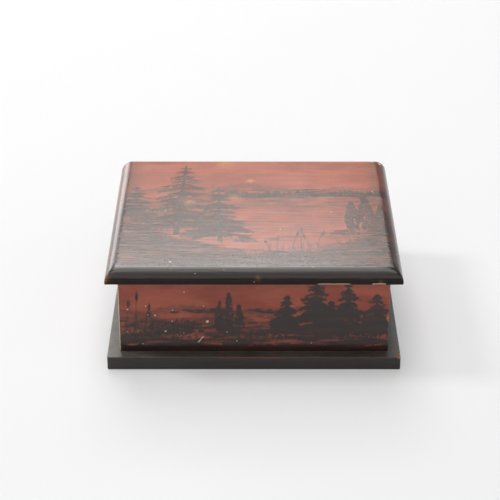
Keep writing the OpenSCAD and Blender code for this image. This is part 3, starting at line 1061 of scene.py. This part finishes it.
def dark_back(node):
    """The back board: plain dark paint on its outer face and lip ends, worn at the
    edges, and bare wood inside."""
    material, tree, shader = new_material("dark_painted_back")
    low, high = box_mm(node)
    at = placed(tree)
    brush = grouped("brushwork", at)
    pine = grouped("bare_pine", at)
    away = from_edges(at, low, high)
    patch = noise(at, (0.04, 0.09, 0.09), 4, 0.6)
    scuff = grouped("scuffs", at, Amount=ramp(away, 2.2, 0.2, 0.0, 0.5))["Mask"]
    x, y, z = axes(at)
    cover = ramp(patch + brush["Fine"] * 0.3, 0.42, 0.62, 0.72, 0.98)
    paint = blend(cover, blend(brush["Broad"], RED_DEEP, RED_WARM), INK)
    paint = blend(scuff, paint, ORANGE_WOOD)
    covered = larger(y > high[1] - 1, abs(x) > high[0] - 1) * (z < high[2] - 0.4)
    rough = larger(ramp(brush["Fine"], 0, 1, 0.4, 0.5), (1.0 - covered) * BARE_ROUGH)
    finish(shader, blend(covered, pine["Color"], paint), rough, brush["Height"] * covered + pine["Height"])
    return material


def old_metal(name, clean, dull, roughness):
    """A metal that has dulled unevenly."""
    material, tree, shader = new_material(name)
    spoiled = grouped("tarnish", placed(tree))
    shader.inputs["Metallic"].default_value = 1.0
    rough = ramp(spoiled["Mask"], 0, 1, roughness, roughness + 0.22)
    finish(shader, blend(spoiled["Mask"], clean, dull), rough, spoiled["Height"])
    return material


# The box stands on pale paper under soft lights, the strongest low behind it and at a
# window on the left, with a dim white board at each side. All stand LIGHT_FAR metres off.
# Each has its azimuth from +Y towards +X and its elevation in degrees, its width and
# height in metres, and how bright it looks, 1 being white
LIGHT_FAR = 5.0
SOFT_BOXES = {
    "back_low": (-8, 33.8, 1.9, 0.7, 7.6),
    "back_right": (12, 34, 1.3, 0.7, 3.3),
    "back_high": (-8, 53, 2.2, 2.9, 4.1),
    "overhead": (-12, 86, 3.6, 2.4, 3.0),
    "front_high": (180, 67, 2.6, 2.0, 1.1),
    "front_fill": (180, 35, 5.0, 3.0, 0.95),
    "left_low": (-29, 12, 2.4, 1.6, 3.6),
    "left_window": (-80, 48, 1.1, 1.1, 18.0),
    "left_board": (-125, 35, 4.0, 3.5, 0.4),
    "right_board": (115, 35, 4.0, 3.5, 0.4),
}
ROOM_DIM = 0.03
ROOM_WALL = 0.5
PAPER = (0.86, 0.86, 0.86, 1)
PAPER_DULL = (0.845, 0.845, 0.845, 1)
PAPER_GLOW = 0.28
FLOOR_HALF = 12000
CAMERA_AT = (-2.449, -1388.534, 784.664)
CAMERA_DOWN = 27.66
CAMERA_YAW = 0.043
LENS_PX = 1676.18
PICTURE_PX = 500
SENSOR_MM = 36.0


def floor():
    """A flat sheet in four by four faces, matt, with the faintest mottle. Seen by the
    camera, in reflections and through things, PAPER_GLOW of it is even white, which
    keeps the box's shadow light."""
    lines = np.linspace(-FLOOR_HALF, FLOOR_HALF, 5)
    gx, gy = np.meshgrid(lines, lines)
    points = np.stack([gx, gy, np.zeros_like(gx)], -1).reshape(-1, 3)
    mesh = bpy.data.meshes.new("paper_floor")
    mesh.from_pydata((points * MM).tolist(), [], quads(np.arange(25).reshape(5, 5)).tolist())
    material, tree, shader = new_material("pale_paper")
    mottle = noise(placed(tree), 0.004, 3, 0.5)
    blend(mottle, PAPER, PAPER_DULL).feed(shader.inputs["Base Color"])
    shader.inputs["Roughness"].default_value = 0.85
    shader.inputs["Specular IOR Level"].default_value = 0.2
    ray = results(put(tree, "LightPath"))
    seen = (ray["Is Camera Ray"] + ray["Is Glossy Ray"] + ray["Is Transmission Ray"]) * PAPER_GLOW
    glow = put(tree, "Emission", {"Color": PAPER, "Strength": 1.0})
    ways = {0: seen, 1: Value(shader.outputs[0]), 2: Value(glow.outputs[0])}
    both = Value(put(tree, "MixShader", ways).outputs[0])
    both.feed(tree.nodes["Material Output"].inputs["Surface"])
    mesh.materials.append(material)
    sheet = add_object("paper_floor", mesh)


def soft_box(name, azimuth, elevation, width, height, brightness):
    """A soft box or white board that faces the origin."""
    turn, rise = math.radians(azimuth), math.radians(elevation)
    away = np.array([math.cos(rise) * math.sin(turn), math.cos(rise) * math.cos(turn), math.sin(rise)])
    lamp = bpy.data.lights.new(name, "AREA")
    lamp.shape = "RECTANGLE"
    lamp.size, lamp.size_y = width, height
    lamp.energy = brightness * math.pi * width * height
    box = add_object(name, lamp)
    box.location = away * LIGHT_FAR
    box.rotation_euler = (math.pi / 2 - rise, 0, math.pi - turn)
    box.visible_camera = False


def camera():
    """The camera, where fitting the box's corners in the photograph puts it."""
    view = bpy.data.cameras.new("camera")
    view.sensor_width = SENSOR_MM
    view.lens = SENSOR_MM * LENS_PX / PICTURE_PX
    stand = add_object("camera", view)
    stand.location = [v * MM for v in CAMERA_AT]
    stand.rotation_euler = [math.radians(v) for v in (90 - CAMERA_DOWN, 0, CAMERA_YAW)]
    bpy.context.scene.camera = stand


def room():
    """The room: dim all round, with a white wall low behind the box."""
    world = bpy.data.worlds.new("room")
    world.use_nodes = True
    tree = world.node_tree
    x, y, z = axes(results(put(tree, "TexCoord"))["Generated"])
    wall = ramp(y, -0.2, 0.5) * ramp(z, 0.42, 0.28)
    shade = tree.nodes["Background"]
    shade.inputs["Color"].default_value = (1, 1, 1, 1)
    ramp(wall, 0, 1, ROOM_DIM, ROOM_WALL).feed(shade.inputs["Strength"])
    bpy.context.scene.world = world


# Marks of age where they show most: (along, across, radius, strength) in millimetres
LID_OCHRE = [(-3, 64, 3.0, 0.9), (-60, 18, 6.5, 0.7), (-18, 29, 5.0, 0.6), (-28, 105, 9.0, 0.5)]
LID_BARE = [(123, 105, 2.6, 0.7), (116, 107, 2.0, 0.6), (-73, -101, 1.8, 0.9), (112, 40, 1.2, 0.8)]
LID_RED = [(-72, -112, 2.2, 1.0), (-26, -113, 2.2, 1.0), (51, -110, 2.0, 1.0), (-128, -118, 4.0, 0.8)]
FRONT_BARE = [
    (-41, 43, 1.6, 1.0), (-111, 55, 1.0, 0.9), (-93, 49.5, 0.9, 0.8), (-87, 49, 1.0, 0.9),
    (-72, 43, 1.0, 0.8), (-78, 33, 1.2, 0.9), (-62, 31, 0.9, 0.8), (-112, 32.5, 1.0, 0.8),
    (-15, 23, 1.0, 0.9), (118.7, 46, 3.0, 0.8),
]
# And the same along and up: rust on the lid's front, and the ends of a scratch on the
# front board
LID_RUST = [(3.5, 91.5, 2.0, 0.4), (110, 88, 1.6, 0.35), (-129, 92, 4.0, 0.4)]
SCRATCH = ((-49.2, 21.8), (-44.8, 27.3))

paint = painted_wood()
lid_board(paint)
front_board(paint)
side_board("left", 21, paint)
side_board("right", 34, paint)

brass = old_metal("dulled_brass", BRASS, BRASS_BROWN, 0.3)
screw_brass = old_metal("screw_brass", SCREW_BRASS, BRASS_BROWN, 0.34)
iron = old_metal("dark_iron", IRON, RUST, 0.45)
finishes = {"base_board": black_base("base_board"), "back_board": dark_back("back_board")}
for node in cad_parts:
    if node.endswith("_leaf"):
        finishes[node] = brass
    elif node.endswith("_screws"):
        finishes[node] = screw_brass
    elif node.endswith(("_pin", "_brads", "_nails")):
        finishes[node] = iron
for node, material in finishes.items():
    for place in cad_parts[node].material_slots:
        place.material = material

floor()
room()
for name, box in SOFT_BOXES.items():
    soft_box(name, *box)
camera()
bpy.context.scene.view_settings.view_transform = "Standard"
